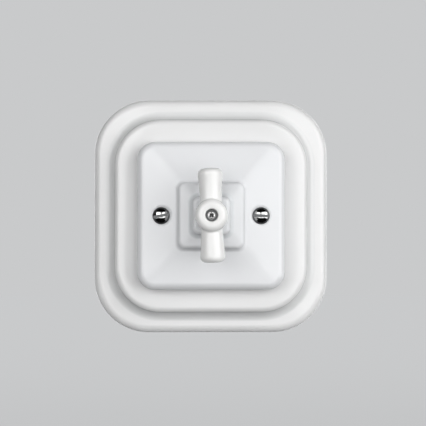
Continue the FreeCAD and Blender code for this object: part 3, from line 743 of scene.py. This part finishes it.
# Knob screw
# A small nickel-plated steel screw with a pan head on a washer face and a cross recess pressed into it.
# It is sunk in the hub and turned into the spindle; the pan is polished, the washer face and recess are dull
# and painted darker as shade.

low, high = drawn_box("knob_screw")
pan_top = high.z
pan_dome = [(1.0, pan_top - 0.02), (1.35, pan_top - 0.12), (1.6, pan_top - 0.28)]
pan_radius = 1.8
pan_level = pan_top - 0.5
pan_edge = 0.2
face_radius = 2.45
face_level = seat_level + 0.6
face_edge = 0.1
knob_shank_radius = 1.45
wing_width = 1.0
wing_length = 2.5
wing_depth = 1.4
wing_taper = 0.25
wing_clearance = 0.2
wing_edge = 0.05
wing_edge_angle = math.radians(40)
wing_edge_depth = 0.3
cross_turn = math.radians(40)
polish_foot = pan_level - 0.3

screw = turned([(0, pan_top)] + pan_dome + [
    (pan_radius, pan_level), (pan_radius, face_level), (face_radius, face_level), (face_radius, seat_level),
    (knob_shank_radius, seat_level), (knob_shank_radius, low.z), (0, low.z)], steps=72)
soften(screw, ring_edges(screw, pan_radius, pan_level), pan_edge, steps=4)
soften(screw, ring_edges(screw, face_radius, face_level), face_edge, steps=3)
for turn in (0, math.pi / 2):
    wing = block(wing_width, wing_length, pan_top - wing_depth, pan_top + wing_clearance, wing_taper)
    bmesh.ops.rotate(wing, verts=wing.verts, matrix=Matrix.Rotation(turn + cross_turn, 3, "Z"))
    combine(screw, [wing], "DIFFERENCE")
soften(screw, sharp_edges(screw, wing_edge_angle, pan_top - wing_edge_depth), wing_edge, steps=2)
# Below the pan's top the screw is marked dull and painted darker as shade.
shade_and_tool_marks = screw.verts.layers.float.new("shade_and_tool_marks")
for vert in screw.verts:
    vert[shade_and_tool_marks] = 0.0 if vert.co.z > polish_foot else 1.0
nickel_knob_screw = hung_piece("nickel_knob_screw", screw, nickel)
nickel_knob_screw.data.set_sharp_from_angle(angle=shading_angle)
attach(nickel_knob_screw, "turning_set")
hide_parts("knob_screw")


# Stage, light and camera
# A flat pale floor under a sky of the same tone. Black felt below, round the front and above is out of view
# and keeps glaze and nickel from mirroring the sky. Softboxes stand in front, beside and behind, and the
# camera looks square at the switch.

backdrop_tone = "C9CACB"
floor_side = 30.0
floor_level = -0.6
floor_glow_share = 0.8
floor_glow = 1.105
flag_width = 2.4
flag_length = 1.5
flag_place = (0, -0.85, -0.58)
ceiling_side = 9.0
ceiling_level = 1.4
screen_radius = 1.4
screen_height = 1.7
screen_centre = 0.55
screen_end = 0.3


def sheet(width, length, place):
    """Level rectangle, in metres, centred on a place."""
    bm = bmesh.new()
    bmesh.ops.create_grid(bm, x_segments=1, y_segments=1, size=0.5)
    bmesh.ops.scale(bm, verts=bm.verts, vec=(width, length, 1))
    bmesh.ops.translate(bm, verts=bm.verts, vec=place)
    return bm


def stage_piece(name, bm, material, in_view):
    """Piece of the stage made from a mesh in metres; one that only shapes the light is out of view."""
    mesh = bpy.data.meshes.new(name)
    bm.to_mesh(mesh)
    bm.free()
    mesh.materials.append(material)
    piece = in_scene(name, mesh)
    piece.visible_camera = in_view


def floor_paint(colour):
    """Pale matt paint that keeps its tone in the picture and in mirrors, and still takes shadows."""
    material, tree = blank_material("floor_paint")
    path = add_node(tree, "LightPath", {})
    seen = add_node(tree, "Math", {0: path.outputs["Is Camera Ray"], 1: path.outputs["Is Glossy Ray"]},
                    operation="MAXIMUM")
    seen = add_node(tree, "Math", {0: seen.outputs["Value"], 1: path.outputs["Is Transmission Ray"]},
                    operation="MAXIMUM")
    share = add_node(tree, "Math", {0: seen.outputs["Value"], 1: floor_glow_share}, operation="MULTIPLY")
    paint = add_node(tree, "BsdfDiffuse", {"Color": linear(colour)})
    glow = add_node(tree, "Emission", {"Color": linear(colour), "Strength": floor_glow})
    mixed = add_node(tree, "MixShader", {0: share.outputs["Value"], 1: paint.outputs["BSDF"],
                                         2: glow.outputs["Emission"]})
    add_node(tree, "OutputMaterial", {"Surface": mixed.outputs["Shader"]})
    return material


def black_felt():
    """Black felt that takes up light."""
    material, tree = blank_material("black_felt")
    felt = add_node(tree, "BsdfDiffuse", {"Color": linear("101010")})
    add_node(tree, "OutputMaterial", {"Surface": felt.outputs["BSDF"]})
    return material


felt = black_felt()
screen = bmesh.new()
bmesh.ops.create_cone(screen, cap_ends=False, segments=72, radius1=screen_radius, radius2=screen_radius,
                      depth=screen_height)
bmesh.ops.translate(screen, verts=screen.verts, vec=(0, 0, screen_centre))
bmesh.ops.delete(screen, geom=[vert for vert in screen.verts if vert.co.y > screen_end], context="VERTS")
stage_piece("floor", sheet(floor_side, floor_side, (0, 0, floor_level)), floor_paint(backdrop_tone), True)
stage_piece("flag", sheet(flag_width, flag_length, flag_place), felt, False)
stage_piece("screen", screen, felt, False)
stage_piece("ceiling", sheet(ceiling_side, ceiling_side, (0, 0, ceiling_level)), felt, False)


def softbox(name, width, height, watts, place):
    """Rectangular softbox that faces the switch and isn't itself in view."""
    data = bpy.data.lights.new(name, "AREA")
    data.shape = "RECTANGLE"
    data.size = width
    data.size_y = height
    data.energy = watts
    box = in_scene(name, data)
    box.location = place
    box.rotation_euler = (-Vector(place)).to_track_quat("-Z", "Y").to_euler()
    box.visible_camera = False


softbox("key", width=1.0, height=0.85, watts=6.0, place=(0.53, -0.71, 0.17))
softbox("side", width=0.6, height=0.7, watts=1.6, place=(0.75, -0.42, 0.05))
softbox("fill", width=0.85, height=0.75, watts=5.1, place=(-0.46, -0.85, 0.24))
softbox("low", width=0.9, height=0.3, watts=0.8, place=(0.05, -0.95, -0.24))
softbox("rear", width=2.4, height=1.8, watts=14.0, place=(0.2, 1.5, 0.35))

world = bpy.data.worlds.new("studio")
world.use_nodes = True
sky = world.node_tree
sky.nodes.clear()
glow = add_node(sky, "Background", {"Color": linear(backdrop_tone), "Strength": 1.0})
add_node(sky, "OutputWorld", {"Surface": glow.outputs["Background"]})
bpy.context.scene.world = world

camera_data = bpy.data.cameras.new("camera")
camera_data.sensor_width = 36
camera_data.lens = 136.8
camera = in_scene("camera", camera_data)
aim = Vector((0.00104, 0, 0.00143))
stand_off = Vector((-0.0088, -0.7, -0.0095))
camera.location = aim + stand_off
camera.rotation_euler = (aim - camera.location).to_track_quat("-Z", "Y").to_euler()
bpy.context.scene.camera = camera
bpy.context.scene.view_settings.view_transform = "Standard"
